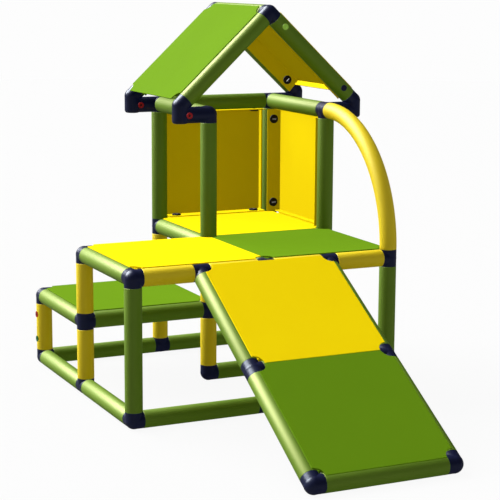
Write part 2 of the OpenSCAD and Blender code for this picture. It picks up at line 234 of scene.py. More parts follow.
# %% [markdown]
# ## Tube plastic
#
# The tubes are blow-moulded polyethylene: waxy, a little shiny, with faint clouds in the pigment
# and a surface that is never quite flat. Three layers do it: slow noise shifts the colour by a
# few percent, a faster one varies the roughness, and a weak bump bends the reflections. On top,
# fine scuffs lie where hands and shoes rub. The photo's highlights are broad and a pale yellow
# green, not white, so the roughness is high and the specular has a tint. Everything reads object
# coordinates, so it runs on from piece to piece.

# %% Make the tube plastics


def shade(colour, factor):
    return tuple(min(1.0, c * factor) for c in colour[:3]) + (1.0,)


def scuffs(sheet, scale, low, high):
    """Thin broken scratches in two directions, from 0 to 1."""
    along = sheet.ramp(sheet.noise(scale, detail=3, place=sheet.stretched(1, 14, 1)), low, high)
    over = sheet.ramp(sheet.noise(scale, detail=3, place=sheet.stretched(12, 1, 9)), low, high)
    return along + over


def tube_plastic(name, colour, roughness):
    sheet = Sheet(name)
    clouds = sheet.noise(scale=7, detail=3)
    marks = scuffs(sheet, scale=26, low=0.66, high=0.8)
    smear = sheet.noise(scale=38, detail=4)
    base = sheet.mixed(clouds, shade(colour, 0.92), shade(colour, 1.06))
    marked_colour = sheet.mixed(marks * 0.05, base, shade(colour, 1.4))
    waves = sheet.bump(sheet.noise(scale=9, detail=1), strength=0.05, distance=0.003)
    grain = sheet.bump(sheet.noise(scale=900, detail=2), strength=0.04, distance=0.0003,
                       below=waves)
    return sheet.set(Base_Color=marked_colour, Roughness=smear * 0.08 + marks * 0.06 + (roughness - 0.04),
                     IOR=1.75, Specular_IOR_Level=0.9, Specular_Tint=(1.0, 1.0, 0.46, 1.0),
                     Normal=grain)


LEAF = (0.128, 0.262, 0.007)
SUN = (1.0, 0.725, 0.002)
TUBE_ROUGHNESS = 0.51
green_tube = tube_plastic("green tube plastic", shade(LEAF, 0.93), TUBE_ROUGHNESS)
yellow_tube = tube_plastic("yellow tube plastic", SUN, TUBE_ROUGHNESS)
print("tube plastics:", green_tube.name, "and", yellow_tube.name)

# %% [markdown]
# ## Panel plastic
#
# The panels are injection moulded with a satin face: a fine etched grain takes the mirror shine
# away so that small feet don't slip. A grain of under a millimetre would be lost as modelled
# geometry, so a voronoi bump stands for it. The faces also carry light dusty scuffs, which show
# a little more on the green than on the yellow.

# %% Make the panel plastics


def panel_plastic(name, colour, wear):
    sheet = Sheet(name)
    clouds = sheet.noise(scale=4, detail=3)
    smear = sheet.noise(scale=22, detail=4)
    marks = scuffs(sheet, scale=19, low=0.64, high=0.8)
    base = sheet.mixed(clouds, shade(colour, 0.95), shade(colour, 1.05))
    marked_colour = sheet.mixed(marks * wear, base, shade(colour, 1.35))
    grain = sheet.node("ShaderNodeTexVoronoi", {"feature": "SMOOTH_F1"},
                       {"Vector": sheet.place, "Scale": 700.0, "Smoothness": 0.6})
    sink = sheet.bump(sheet.noise(scale=9, detail=1), strength=0.08, distance=0.004)
    etched = sheet.bump(grain, strength=0.12, distance=0.0005, below=sink)
    return sheet.set(Base_Color=marked_colour, Roughness=smear * 0.1 + marks * 0.06 + 0.66,
                     Specular_IOR_Level=0.02, Specular_Tint=(1.0, 0.9, 0.3, 1.0), Normal=etched)


green_panel = panel_plastic("green panel plastic", LEAF, wear=0.08)
yellow_panel = panel_plastic("yellow panel plastic", SUN, wear=0.06)
print("panel plastics:", green_panel.name, "and", yellow_panel.name)

# %% [markdown]
# ## Connector, screw and plug plastics
#
# The connectors are a dark blue, close to black, that only shows its blue where light grazes
# it. A tinted specular keeps that highlight bluish, and a thin coat adds a sharper one on top.
# The screws are black and satin, with a light grey painted highlight in their slots. The plugs are
# small buttons with a dimple in the middle, whose shade is painted in nearly black on the red ones.
# One could split the dimple off as a slot of its own. A mask on the distance from the plug's axis
# paints that shade without touching the mesh, and its edge falls on the dimple's rim. Each dimple
# is written as the plug's centre and the axes that lie across its face.

# %% Make the small parts' plastics
DIMPLE_R = 0.0038
RAMP_REACH = 100
WHITE = (1.0, 1.0, 1.0, 1.0)


def outside_dimple_shade(sheet, centre, across):
    """0 in the dimple of a plug at the centre, where its shade is painted, and 1 around it. The
    plug's axis is flattened out.

    A ramp only tells hundredths apart, so the distance is stretched before it goes in.
    """
    back = tuple(-c * a for c, a in zip(centre, across))
    put = sheet.node("ShaderNodeMapping", {},
                     {"Vector": sheet.place, "Location": back, "Scale": across})
    far = sheet.node("ShaderNodeVectorMath", {"operation": "LENGTH"}, {0: put}, 1)
    rim = DIMPLE_R * RAMP_REACH
    return sheet.ramp(far * RAMP_REACH, rim - 0.03, rim + 0.03)


def small_plastic(name, colour, roughness, coat=0.0, sheen=WHITE, gloss=0.5, shaded_dimples=()):
    sheet = Sheet(name)
    clouds = sheet.noise(scale=30, detail=3)
    marks = scuffs(sheet, scale=48, low=0.66, high=0.8)
    base = sheet.mixed(clouds, shade(colour, 0.85), shade(colour, 1.15))
    marked_colour = sheet.mixed(marks * 0.06, base, tuple(min(1, c * 1.5 + 0.05) for c in colour) + (1.0,))
    for centre, across in shaded_dimples:
        # Painted shade: each dimple's recess is darkened to a tenth of the plug's colour.
        marked_colour = sheet.mixed(outside_dimple_shade(sheet, centre, across), shade(colour, 0.1), marked_colour)
    skin = sheet.bump(sheet.noise(scale=60, detail=2), strength=0.08, distance=0.001)
    grain = sheet.bump(sheet.noise(scale=1100, detail=1), strength=0.06, distance=0.0003,
                       below=skin)
    return sheet.set(Base_Color=marked_colour, Roughness=clouds * 0.12 + marks * 0.1 + (roughness - 0.06),
                     Specular_IOR_Level=gloss, Specular_Tint=sheen, Coat_Weight=coat,
                     Coat_Roughness=0.25, Normal=grain)


NAVY = (0.006, 0.008, 0.04)
# The red plugs' dimples that get painted shade: each plug's centre and the axes across its face.
RED_DIMPLE_SHADES = (((-0.1182, 0.0, 0.8252), (1, 0, 1)), ((0.0, 0.7448, 0.1652), (0, 1, 1)))
blue_connector = small_plastic("dark blue connector plastic", NAVY, roughness=0.38, coat=0.1,
                               sheen=(0.75, 0.85, 1.0, 1.0), gloss=0.65)
black_screw = small_plastic("black screw plastic", (0.008, 0.008, 0.008), roughness=0.42)
# Painted highlight: a light grey for the faces inside each screw's slot.
painted_slot_highlight = small_plastic("slot painted highlight plastic", (0.5, 0.5, 0.48), roughness=0.5)
plug_looks = {
    "red_plugs": ("red", (0.42, 0.008, 0.01), RED_DIMPLE_SHADES),
    "light_green_plug": ("light green", (0.5, 0.95, 0.1), ()),
    "dark_green_plug": ("dark green", (0.012, 0.13, 0.03), ()),
    "blue_plug": ("dark blue", NAVY, ()),
}
plug_plastics = {node: small_plastic(word + " plug plastic", colour, roughness=0.35, coat=0.1,
                                     shaded_dimples=shaded_dimples)
                 for node, (word, colour, shaded_dimples) in plug_looks.items()}
print("small plastics:", 3 + len(plug_plastics))

# %% [markdown]
# ## Dressing the CAD's own pieces
#
# The connectors and plugs already have the right shape in the CAD model, with the balls, the
# shoulders and the hollow spigots. There is nothing to gain by making them again, so they keep
# their meshes and only get their finish.

# %% Give the connectors and plugs their finish


def finish_node(name, material):
    node = frame["nodes"][name]
    for slot in node.material_slots:
        slot.material = material


slots = {part["node"]: part["material_slot"] for part in frame["record"]["subparts"]}
for name, slot in slots.items():
    if slot == "blue_connector":
        finish_node(name, blue_connector)
    elif name in plug_plastics:
        finish_node(name, plug_plastics[name])
print("connectors:", sum(slot == "blue_connector" for slot in slots.values()), "nodes")

# %% [markdown]
# ## A tree that makes tubes
#
# Each tube is a ring with a long thin wall, and its rim is rounded where it meets a connector,
# which is what draws the fine dark line at each joint. One could spin that outline by hand for
# every tube, but the rule is always the same, so Geometry Nodes carry it: a filleted rectangle
# is swept round a circle, and the result is set on the middle of every edge of a guide mesh,
# turned along that edge. A guide mesh of plain edges then is all that a new tube needs.

# %% Build the tube tree
TUBE_SIDES = 64
RIM = 0.0012


def new_tree(name, sizes, finishes):
    tree = bpy.data.node_groups.new(name, "GeometryNodeTree")
    tree.interface.new_socket("Geometry", in_out="INPUT", socket_type="NodeSocketGeometry")
    for label, default in sizes.items():
        socket = tree.interface.new_socket(label, in_out="INPUT", socket_type="NodeSocketFloat")
        socket.default_value = default
    for label in finishes:
        tree.interface.new_socket(label, in_out="INPUT", socket_type="NodeSocketMaterial")
    tree.interface.new_socket("Geometry", in_out="OUTPUT", socket_type="NodeSocketGeometry")
    return tree


class Tree:
    """Adds and links the nodes of a Geometry Nodes tree."""

    def __init__(self, name, sizes, finishes=("Finish",)):
        self.tree = new_tree(name, sizes, finishes)
        self.source = self.tree.nodes.new("NodeGroupInput")
        self.result = self.tree.nodes.new("NodeGroupOutput")

    def size(self, label):
        return self.source.outputs[label]

    def add(self, kind, settings=None, inputs=None, output=0):
        made = self.tree.nodes.new(kind)
        for key, setting in (settings or {}).items():
            setattr(made, key, setting)
        for key, value in (inputs or {}).items():
            if isinstance(value, bpy.types.NodeSocket):
                self.tree.links.new(value, made.inputs[key])
            else:
                made.inputs[key].default_value = value
        return made.outputs[output]

    def sum(self, operation, a, b):
        return self.add("ShaderNodeMath", {"operation": operation}, {0: a, 1: b})

    def join(self, *parts):
        made = self.tree.nodes.new("GeometryNodeJoinGeometry")
        for part in reversed(parts):
            self.tree.links.new(part, made.inputs[0])
        return made.outputs[0]

    def finished(self, geometry, label="Finish"):
        return self.add("GeometryNodeSetMaterial", None,
                        {"Geometry": geometry, "Material": self.size(label)})

    def end(self, geometry):
        real = self.add("GeometryNodeRealizeInstances", None, {0: geometry})
        self.tree.links.new(real, self.result.inputs[0])
        return self.tree


def tube_tree():
    t = Tree("tubes along edges", {"Radius": TUBE_R, "Wall": TUBE_WALL, "Length": LONG, "Rim": RIM})
    middle = t.sum("SUBTRACT", t.size("Radius"), t.sum("MULTIPLY", t.size("Wall"), 0.5))
    outline = t.add("GeometryNodeCurvePrimitiveQuadrilateral", None,
                    {"Width": t.size("Wall"), "Height": t.size("Length")})
    rounded = t.add("GeometryNodeFilletCurve", {"mode": "POLY"},
                    {"Curve": outline, "Count": 4, "Radius": t.size("Rim")})
    circle = t.add("GeometryNodeCurvePrimitiveCircle", None,
                   {"Resolution": TUBE_SIDES, "Radius": middle})
    ring = t.add("GeometryNodeCurveToMesh", None, {"Curve": circle, "Profile Curve": rounded})
    smooth = t.add("GeometryNodeSetShadeSmooth", None, {0: ring, "Shade Smooth": True})
    ends = t.tree.nodes.new("GeometryNodeInputMeshEdgeVertices")
    run = t.add("ShaderNodeVectorMath", {"operation": "SUBTRACT"},
                {0: ends.outputs[3], 1: ends.outputs[2]})
    spots = t.tree.nodes.new("GeometryNodeMeshToPoints")
    spots.mode = "EDGES"
    kept = t.add("GeometryNodeStoreNamedAttribute", {"data_type": "FLOAT_VECTOR", "domain": "EDGE"},
                 {"Geometry": t.source.outputs[0], "Name": "run", "Value": run})
    t.tree.links.new(kept, spots.inputs[0])
    read = t.add("GeometryNodeInputNamedAttribute", {"data_type": "FLOAT_VECTOR"}, {"Name": "run"})
    turn = t.add("FunctionNodeAlignRotationToVector", {"axis": "Z"}, {"Vector": read})
    tubes = t.add("GeometryNodeInstanceOnPoints", None,
                  {"Points": spots.outputs[0], "Instance": t.finished(smooth), "Rotation": turn})
    return t.end(tubes)


TUBES = tube_tree()
print("tree", TUBES.name, "has", len(TUBES.nodes), "nodes")

# %% [markdown]
# ## Running a tree
#
# The tree's result has to become a plain mesh before it joins the frame. The guide gets the
# modifier, the sizes go in by each socket's identifier, and the evaluated object is copied to a
# new mesh. One helper does that for every tree in this notebook.

# %% Turn a guide and a tree into a finished piece


def add_piece(name, mesh, body, slot, *nodes):
    piece = bpy.data.objects.new(name, mesh)
    bpy.context.scene.collection.objects.link(piece)
    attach(piece, body)
    if nodes:
        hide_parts(*nodes)
    return piece


def grown(name, tree, guide, finish, **sizes):
    """The mesh that a tree makes on a guide mesh."""
    holder = bpy.data.objects.new(name + "_guide", guide)
    bpy.context.scene.collection.objects.link(holder)
    modifier = holder.modifiers.new("tree", "NODES")
    modifier.node_group = tree
    wanted = {key.replace("_", " "): value for key, value in sizes.items()}
    wanted["Finish"] = finish
    for item in tree.interface.items_tree:
        if item.in_out == "INPUT" and item.name in wanted:
            modifier[item.identifier] = wanted[item.name]
    bpy.context.view_layer.update()
    depsgraph = bpy.context.evaluated_depsgraph_get()
    shape = bpy.data.meshes.new_from_object(holder.evaluated_get(depsgraph))
    shape.name = name
    bpy.data.objects.remove(holder)
    for layer in [a.name for a in shape.attributes if a.name in ("run", "aim", "side")]:
        shape.attributes.remove(shape.attributes[layer])
    return shape


def edge_guide(name, runs):
    guide = bpy.data.meshes.new(name)
    points = [point for run in runs for point in run]
    guide.from_pydata(points, [(2 * i, 2 * i + 1) for i in range(len(runs))], [])
    return guide


print("helpers ready")

# %% [markdown]
# ## The straight tubes
#
# A table says between which crossings each group of tubes runs. A long tube spans one step of
# the grid and a short one half a step, which is how the step and the deck's front rail get
# connectors half-way. The roof's and the ramp's tubes lie on slopes, so their runs are written
# in a frame of their own and turned with it.

# %% Grow the straight tubes


def runs_between(*pairs):
    return [(at(*a), at(*b)) for a, b in pairs]


def runs_in(place, *pairs):
    return [(place @ Vector(a), place @ Vector(b)) for a, b in pairs]


def stood(*spots, low=0.0, high=1.0):
    return runs_between(*[((i, j, low), (i, j, high)) for i, j in spots])


def square(k, i, j, sides="front back left right"):
    edges = {"front": ((i, j, k), (i + 1, j, k)), "back": ((i, j + 1, k), (i + 1, j + 1, k)),
             "left": ((i, j, k), (i, j + 1, k)), "right": ((i + 1, j, k), (i + 1, j + 1, k))}
    return runs_between(*[edges[side] for side in sides.split()])


def gable(y):
    drop, reach = -GRID * math.sin(ROOF_PITCH), GRID * math.cos(ROOF_PITCH)
    return runs_in(RIDGE, ((0, y, 0), (-reach, y, drop)), ((0, y, 0), (reach, y, drop)))


def ramp_sides():
    return runs_in(RAMP, *[((x * GRID, -y * GRID, 0), (x * GRID, -(y + 1) * GRID, 0))
                           for x in (0.5, 1.5) for y in (0, 1)])


def ramp_crosses():
    return runs_in(RAMP, *[((GRID / 2, -y * GRID, 0), (1.5 * GRID, -y * GRID, 0)) for y in (1, 2)])


long_green = {
    "floor_tubes_front": square(0, 0, 0, "front") + square(0, 1, 0, "front"),
    "floor_tubes_left": square(0, 0, 0, "left") + square(0, 0, 1, "left"),
    "floor_tubes_back": square(0, 0, 1, "back") + square(0, 1, 1, "back"),
    "floor_tubes_right": square(0, 1, 0, "right") + square(0, 1, 1, "right"),
    "floor_tube_middle": square(0, 1, 1, "front"),
    "front_legs": stood((0, 0), (2, 0)),
    "rear_legs": stood((2, 1), (2, 2)),
    "step_rails": square(0.5, 0, 1),
    "deck_side_rails": square(1, 0, 0, "left right") + square(1, 1, 0, "right"),
    "deck_rear_rails": square(1, 0, 0, "back") + square(1, 1, 0, "back"),
    "house_floor_rails": square(1, 1, 1, "back left right"),
    "house_posts": stood((1, 1), (2, 1), (1, 2), (2, 2), low=1, high=2),
    "house_top_rails": square(2, 1, 1, "back left right"),
    "ridge_tube": runs_in(RIDGE, ((0, 0, 0), (0, GRID, 0))),
    "gable_tubes_front": gable(0),
    "gable_tubes_back": gable(GRID),
    "ramp_side_tubes": ramp_sides(),
    "ramp_cross_tubes": ramp_crosses(),
}
short_yellow = {
    "step_posts_left": (stood((0, 1), high=0.5) + stood((0, 1), low=0.5)
                        + stood((0, 2), high=0.5)),
    "step_posts_right": (stood((1, 1), high=0.5) + stood((1, 1), low=0.5)
                         + stood((1, 2), high=0.5) + stood((1, 2), low=0.5)),
    "deck_front_rail": runs_between(*[((i / 2, 0, 1), (i / 2 + 0.5, 0, 1)) for i in range(4)]),
}


def body_of_node(name):
    return "ramp" if name.startswith("ramp_") else "frame"


def grow_tubes(table, length, finish, slot):
    for name, runs in table.items():
        shape = grown(name + "_moulded", TUBES, edge_guide(name, runs), finish, Length=length)
        add_piece(name + "_moulded", shape, body_of_node(name), slot, name)
        print(f"{name}: {len(runs)} tubes, {len(shape.polygons)} faces")


grow_tubes(long_green, LONG, green_tube, "green_tube")
grow_tubes(short_yellow, SHORT, yellow_tube, "yellow_tube")

# %% [markdown]
# ## The arch
#
# The yellow arch is a tube bent to a quarter circle, from the house's post down to the deck's
# corner, to hold on to. It is the only bent tube, so a tree would have a single user. Rings of
# points set along the quarter circle are simpler, and let the rim at each end be rounded by
# drawing four more rings there.

# %% Bend the arch
ARCH_BEND = GRID - NECK
ARCH_STEPS = 72


def ring_points(middle, out, side, radius):
    return [middle + (out * math.cos(a) + side * math.sin(a)) * radius
            for a in (2 * math.pi * n / TUBE_SIDES for n in range(TUBE_SIDES))]


def arch_rings():
    """The rings of the outer skin, then of the bore back again, as a closed shell."""
    bore = TUBE_R - TUBE_WALL
    total = ARCH_BEND * math.pi / 2
    rounding = [math.pi / 8 * n for n in range(4)]
    start = [(RIM * (1 - math.cos(t)), TUBE_R - RIM * (1 - math.sin(t))) for t in rounding]
    body = [(total * n / ARCH_STEPS, TUBE_R) for n in range(1, ARCH_STEPS)]
    outside = start + body + [(total - s, r) for s, r in reversed(start)]
    inside = [(total * n / ARCH_STEPS, bore) for n in range(ARCH_STEPS, -1, -1)]
    return outside + inside


def bend_arch():
    centre = at(2, 1, 1) + Vector((0, -NECK, NECK))
    mesh = bmesh.new()
    rings = []
    for s, radius in arch_rings():
        angle = s / ARCH_BEND
        out = Vector((0, -math.sin(angle), math.cos(angle)))
        ring = ring_points(centre + out * ARCH_BEND, out, Vector((1, 0, 0)), radius)
        rings.append([mesh.verts.new(p) for p in ring])
    for first, second in zip(rings, rings[1:] + rings[:1]):
        for n in range(TUBE_SIDES):
            m = (n + 1) % TUBE_SIDES
            mesh.faces.new((first[n], first[m], second[m], second[n]))
    bmesh.ops.recalc_face_normals(mesh, faces=mesh.faces)
    for face in mesh.faces:
        face.smooth = True
    shape = bpy.data.meshes.new("arch_tube_moulded")
    mesh.to_mesh(shape)
    mesh.free()
    shape.materials.append(yellow_tube)
    return shape


arch = add_piece("arch_tube_moulded", bend_arch(), "frame", "yellow_tube", "arch_tube")
print("arch:", len(arch.data.polygons), "faces")

# %% [markdown]
# ## The tray panels
#
# A panel is a flat face whose edges are folded down between the tubes. Two opposite sides are
# deep, because the screws go through them, and the other two are shallow lips that only stiffen
# the face. The face reaches to the middle of the tubes, and a round notch in each corner clears
# the post. A box with a Solidify modifier would miss the notches and the two depths. So the
# outline of the face and the rounded square of the folds are drawn as loops of points and joined
# level by level into one closed shell. A Bevel modifier then breaks every edge, because moulded
# plastic has no sharp one, and those small rounds catch the light along the rims.

# %% Model one tray panel
NOTCH_R = 0.028
SIDE_H = 0.048
LIP_H = 0.018
SIDE_BEND = 0.008
WALL_LIFT = 0.0033
EDGE_ROUND = 0.0009
SHARP = math.radians(40)
FACE_GAP = 0.0004
NOTCH_STEPS = 14
BEND_STEPS = 4
AROUND = ("left", "low", "right", "high")


def arc(centre, radius, start, stop, steps):
    return [(centre[0] + radius * math.cos(a), centre[1] + radius * math.sin(a))
            for a in (start + (stop - start) * n / steps for n in range(steps + 1))]


def face_outline():
    """A square with a round notch in each corner, anticlockwise."""
    low, high = FACE_GAP, GRID - FACE_GAP
    quarter = math.pi / 2
    points = []
    for n, corner in enumerate(((0, 0), (GRID, 0), (GRID, GRID), (0, GRID))):
        start = quarter * (n + 1)
        points += arc(corner, NOTCH_R, start, start - quarter, NOTCH_STEPS)
    return [(min(max(x, low), high), min(max(y, low), high)) for x, y in points]


def fold_outline(inset, lift, bend, deep):
    """The rounded square of the folds, with a point in each corner where a deep side ends."""
    low_x, low_y, high = inset, inset + lift, GRID - inset
    quarter = math.pi / 2
    centres = ((low_x + bend, low_y + bend), (high - bend, low_y + bend),
               (high - bend, high - bend), (low_x + bend, high - bend))
    wrap = math.acos(SIDE_BEND / 2 / bend)
    points, is_deep = [], []
    for n, centre in enumerate(centres):
        start = math.pi + quarter * n
        from_deep = AROUND[n] in deep
        part = wrap if from_deep else quarter - wrap
        points += arc(centre, bend, start, start + part, BEND_STEPS)[:-1]
        points += arc(centre, bend, start + part, start + quarter, BEND_STEPS)
        is_deep += [from_deep] * BEND_STEPS + [not from_deep] * (BEND_STEPS + 1)
    return points, is_deep


def tray(name, place, lift, deep, finish):
    mesh = bmesh.new()

    def loop(points, z):
        return [mesh.verts.new((x, y, z)) for x, y in points]

    def wall(lower, upper, chosen=None):
        for n in range(len(lower)):
            m = (n + 1) % len(lower)
            if chosen is None or chosen[n]:
                mesh.faces.new((lower[n], lower[m], upper[m], upper[n]))

    outline = face_outline()
    outer, is_deep = fold_outline(SEAT, lift, SIDE_BEND, deep)
    inner, _ = fold_outline(SEAT + SHEET, lift, SIDE_BEND - SHEET, deep)
    top, under = loop(outline, SEAT + SHEET), loop(outline, SEAT)
    root, back = loop(outer, SEAT), loop(inner, SEAT)
    lip, lip_in = loop(outer, SEAT - LIP_H), loop(inner, SEAT - LIP_H)
    hem, hem_in = loop(outer, SEAT - SIDE_H), loop(inner, SEAT - SIDE_H)
    mesh.faces.new(top)
    wall(under, top)
    wall(lip, root)
    wall(back, lip_in)
    wall(lip_in, lip, [not one for one in is_deep])
    wall(hem, lip, is_deep)
    wall(lip_in, hem_in, is_deep)
    wall(hem_in, hem, is_deep)
    for n in range(len(is_deep)):
        if is_deep[n] != is_deep[n - 1]:
            mesh.faces.new((hem[n], lip[n], lip_in[n], hem_in[n]))
    mesh.faces.new(list(reversed(back)))
    rim = [edge for edge in mesh.edges if edge.is_boundary]
    bmesh.ops.triangle_fill(mesh, use_beauty=True, edges=rim)
    loose = [vert for vert in mesh.verts if not vert.link_faces]
    bmesh.ops.delete(mesh, geom=loose, context="VERTS")
    bmesh.ops.recalc_face_normals(mesh, faces=mesh.faces)
    gaps = sum(not edge.is_manifold for edge in mesh.edges)
    print(f"{name}: {len(mesh.faces)} faces, {gaps} open edges")
    mesh.transform(place)
    shape = bpy.data.meshes.new(name)
    mesh.to_mesh(shape)
    mesh.free()
    shape.materials.append(finish)
    return shape


def soften(piece):
    bevel = piece.modifiers.new("rounded edges", "BEVEL")
    bevel.width, bevel.segments = EDGE_ROUND, 2
    bevel.limit_method, bevel.angle_limit = "ANGLE", SHARP
    bevel.harden_normals = True
    for face in piece.data.polygons:
        face.use_smooth = True
    piece.data.set_sharp_from_angle(angle=SHARP)


print("face outline:", len(face_outline()), "points")

# %% [markdown]
# ## Where the panels lie
#
# Every panel is the same piece, so a table of places is all that is left: a corner of the grid,
# the way that the face looks and which two sides are the deep ones. The floors, the ramp and the
# side wall have them left and right, the back wall above and below, and the roof at its gables.
# The two walls stand on the house's floor, so the fold next to the floor is drawn in by the
# floor's thickness.

# %% Set the ten panels
STANDING = turned("X", math.pi / 2)
LEFT_SLOPE = turned("Y", -ROOF_PITCH) @ moved(Vector((-GRID, 0, 0)))
RIGHT_SLOPE = turned("Y", ROOF_PITCH)
ACROSS = ("left", "right")
ALONG = ("low", "high")
panels = {
    "step_panel": (moved(at(0, 1, 0.5)), 0, ACROSS, green_panel),
    "deck_panel_left": (moved(at(0, 0, 1)), 0, ACROSS, yellow_panel),
    "deck_panel_right": (moved(at(1, 0, 1)), 0, ACROSS, green_panel),
    "house_floor_panel": (moved(at(1, 1, 1)), 0, ACROSS, yellow_panel),
    "back_wall": (moved(at(2, 2, 1)) @ turned("Z", math.pi) @ STANDING,
                  WALL_LIFT, ALONG, yellow_panel),
    "side_wall": (moved(at(2, 1, 1)) @ turned("Z", math.pi / 2) @ STANDING,
                  WALL_LIFT, ACROSS, yellow_panel),
    "roof_panel_left": (RIDGE @ LEFT_SLOPE, 0, ALONG, green_panel),
    "roof_panel_right": (RIDGE @ RIGHT_SLOPE, 0, ALONG, yellow_panel),
    "ramp_panel_upper": (RAMP @ moved(Vector((GRID / 2, -GRID, 0))), 0, ACROSS, yellow_panel),
    "ramp_panel_lower": (RAMP @ moved(Vector((GRID / 2, -2 * GRID, 0))), 0, ACROSS, green_panel),
}
for name, (place, lift, deep, finish) in panels.items():
    slot = "green_panel" if finish is green_panel else "yellow_panel"
    shape = tray(name, place, lift, deep, finish)
    soften(add_piece(name + "_moulded", shape, body_of_node(name), slot, name))
print("panels:", len(panels))

# %% [markdown]
# ## A tree that makes screws
#
# Large plastic screws with a coin slot hold the panels. There are forty, all alike, so a tree
# makes one and sets it on every point of a guide. The head starts as a filled circle that is
# extruded twice, the second time scaled in for the chamfer, and a bar is cut out for the slot.
# The bar carries a light grey of its own into the cut, a painted highlight in the slots. The
# photo shows the slots lying across their tubes, so a seeded random turn of a few degrees is all
# that keeps them from looking stamped.

# %% Build the screw tree
HEAD_SIDES = 44
SHANK_SIDES = 24
WELD = 0.00001
TWIST_SEED = 5


def screw_tree():
    t = Tree("slotted screws", {"Head radius": 0.0145, "Head height": 0.005, "Chamfer": 0.0013,
                                "Slot length": 0.014, "Slot width": 0.003, "Slot depth": 0.0026,
                                "Shank radius": 0.006, "Shank length": 0.0145, "Twist": 0.12},
             ("Finish", "Slot finish"))
    disc = t.add("GeometryNodeMeshCircle", {"fill_type": "NGON"},
                 {"Vertices": HEAD_SIDES, "Radius": t.size("Head radius")})
    rise = t.sum("SUBTRACT", t.size("Head height"), t.size("Chamfer"))
    body = t.tree.nodes.new("GeometryNodeExtrudeMesh")
    t.tree.links.new(disc, body.inputs["Mesh"])
    body.inputs["Offset"].default_value = (0, 0, 1)
    t.tree.links.new(rise, body.inputs["Offset Scale"])
    top = t.tree.nodes.new("GeometryNodeExtrudeMesh")
    t.tree.links.new(body.outputs["Mesh"], top.inputs["Mesh"])
    t.tree.links.new(body.outputs["Top"], top.inputs["Selection"])
    top.inputs["Offset"].default_value = (0, 0, 1)
    t.tree.links.new(t.size("Chamfer"), top.inputs["Offset Scale"])
    top_radius = t.sum("SUBTRACT", t.size("Head radius"), t.size("Chamfer"))
    narrow = t.sum("DIVIDE", top_radius, t.size("Head radius"))
    scaled = t.add("GeometryNodeScaleElements", None,
                   {"Geometry": top.outputs["Mesh"], "Selection": top.outputs["Top"],
                    "Scale": narrow})
    floor = t.add("GeometryNodeFlipFaces", None, {"Mesh": disc})
    closed = t.add("GeometryNodeMergeByDistance", None,
                   {"Geometry": t.join(scaled, floor), "Distance": WELD})
    bar_size = t.add("ShaderNodeCombineXYZ", None,
                     {0: t.size("Slot length"), 1: t.size("Slot width"),
                      2: t.sum("MULTIPLY", t.size("Slot depth"), 2.0)})
    bar = t.add("GeometryNodeMeshCube", None, {"Size": bar_size})
    lift = t.add("ShaderNodeCombineXYZ", None, {2: t.size("Head height")})
    raised = t.add("GeometryNodeTransform", None, {"Geometry": bar, "Translation": lift})
    # The bar's faces left in the cut carry the slot's painted highlight.
    head = t.add("GeometryNodeMeshBoolean", {"operation": "DIFFERENCE", "solver": "EXACT"},
                 {"Mesh 1": t.finished(closed), "Mesh 2": t.finished(raised, "Slot finish")})
    shank = t.add("GeometryNodeMeshCylinder", None,
                  {"Vertices": SHANK_SIDES, "Radius": t.size("Shank radius"),
                   "Depth": t.size("Shank length")})
    drop = t.add("ShaderNodeCombineXYZ", None, {2: t.sum("MULTIPLY", t.size("Shank length"), -0.5)})
    sunk = t.add("GeometryNodeTransform", None, {"Geometry": shank, "Translation": drop})
    screw = t.join(head, t.finished(sunk))
    aim = t.add("GeometryNodeInputNamedAttribute", {"data_type": "FLOAT_VECTOR"}, {"Name": "aim"})
    side = t.add("GeometryNodeInputNamedAttribute", {"data_type": "FLOAT_VECTOR"}, {"Name": "side"})
    facing = t.add("FunctionNodeAlignRotationToVector", {"axis": "Z"}, {"Vector": aim})
    turned_to = t.add("FunctionNodeAlignRotationToVector", {"axis": "X", "pivot_axis": "Z"},
                      {"Rotation": facing, "Vector": side})
    chance = t.tree.nodes.new("FunctionNodeRandomValue")
    chance.data_type = "FLOAT"
    for index, value in ((2, -1.0), (3, 1.0)):
        chance.inputs[index].default_value = value
    chance.inputs["Seed"].default_value = TWIST_SEED
    twist = t.add("ShaderNodeCombineXYZ", None,
                  {2: t.sum("MULTIPLY", chance.outputs[1], t.size("Twist"))})
    spin = t.add("FunctionNodeEulerToRotation", None, {0: twist})
    final = t.add("FunctionNodeRotateRotation", {"rotation_space": "LOCAL"},
                  {0: turned_to, 1: spin})
    points = t.add("GeometryNodeMeshToPoints", None, {"Mesh": t.source.outputs[0]})
    screws = t.add("GeometryNodeInstanceOnPoints", None,
                   {"Points": points, "Instance": screw, "Rotation": final})
    return t.end(screws)


SCREWS = screw_tree()
print("tree", SCREWS.name, "has", len(SCREWS.nodes), "nodes")

# %% [markdown]
# ## Driving the screws
#
# Two screws stand on each deep side of a panel, 60 mm from the crossings, and they go through
# that side into the tube. The guide holds one point for each, on the inside of the side, with
# two stored arrows: the way that the head looks and the way that its slot lies, across the tube,
# before the random turn.

# %% Grow the screws
SIDES = {"low": ((0, 0), (1, 0), (0, 1)), "high": ((0, 1), (1, 0), (0, -1)),
         "left": ((0, 0), (0, 1), (1, 0)), "right": ((1, 0), (0, 1), (-1, 0))}
screw_groups = {
    "floor_panel_screws": ("step_panel", "deck_panel_left", "deck_panel_right",
                           "house_floor_panel"),
    "wall_screws": ("back_wall", "side_wall"),
    "roof_screws": ("roof_panel_left", "roof_panel_right"),
    "ramp_screws": ("ramp_panel_upper", "ramp_panel_lower"),
}


def screw_spots(panel):
    """The point, the head's way and the slot's way of each screw of a panel."""
    place, lift, deep, _ = panels[panel]
    turn = place.to_3x3()
    for side in deep:
        start, run, inward = SIDES[side]
        depth = SEAT + SHEET + (lift if side == "low" else 0)
        for along in (HOLE_AT, GRID - HOLE_AT):
            spot = Vector((start[0] * GRID + run[0] * along + inward[0] * depth,
                           start[1] * GRID + run[1] * along + inward[1] * depth, 0))
            yield place @ spot, turn @ Vector((*inward, 0)), turn @ Vector((0, 0, 1))


